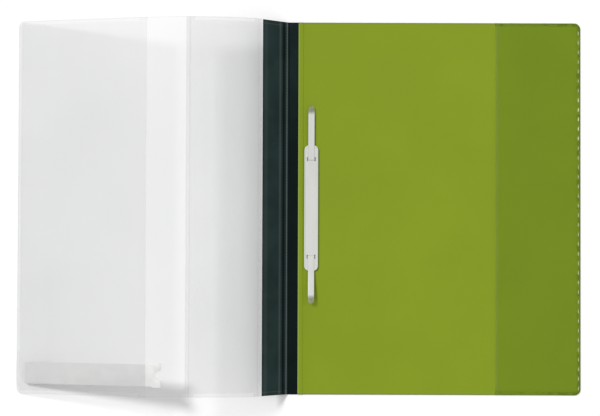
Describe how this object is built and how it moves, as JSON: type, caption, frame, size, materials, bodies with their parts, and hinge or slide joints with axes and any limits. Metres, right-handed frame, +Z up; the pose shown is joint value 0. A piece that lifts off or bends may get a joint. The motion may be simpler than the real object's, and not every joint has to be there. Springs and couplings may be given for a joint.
{
  "type": "clear view folder",
  "caption": "Clear view folder for A4 sheets, lying open: clear front cover with title flaps and a pull-out label strip, coloured back cover with a pocket, and a prong fastener.",
  "frame": {"origin": "on the table, under the middle of the open folder's outline", "axes": "+X across the open folder from the clear front cover to the coloured back cover, +Y along the fold towards the top of a page, +Z up from the table"},
  "size_m": [0.4688, 0.31, 0.0391],
  "materials": {
    "lime_film": "opaque lime green film, finely matt",
    "pocket_film": "translucent green film, finely matt",
    "spine_film": "opaque dark green film with pressed creases",
    "clear_film": "clear film, softly glossy",
    "label_plastic": "white plastic, matt",
    "fastener_plastic": "white moulded plastic, matt"
  },
  "bodies": {
    "back": {"back_cover": "lime_film", "back_pocket": "pocket_film", "spine_flange": "spine_film", "prong_strip": "fastener_plastic", "cover_bar": "fastener_plastic"},
    "spine": {"spine_leaf": "spine_film"},
    "front": {"front_cover": "clear_film", "outer_flap": "clear_film", "inner_flap": "clear_film"},
    "label": {"label_strip": "label_plastic"}
  },
  "joints": [
    {"name": "spine_fold", "type": "hinge", "parent": "back", "child": "spine", "pos_m": [-0.00914, 0, 0.0005], "axis": [0, 1, 0], "range_deg": [0, 64.1]},
    {"name": "front_cover", "type": "hinge", "parent": "spine", "child": "front", "pos_m": [-0.02998, 0, 0.02208], "axis": [0, 1, 0], "range_deg": [0, 122]},
    {"name": "label_slide", "type": "slide", "parent": "front", "child": "label", "axis": [-0.9561, 0, -0.293], "range_m": [0, 0.1155]}
  ],
  "couplings": [
    {"joint": "spine_fold", "follows": "front_cover", "ratio": 0.5246}
  ]
}
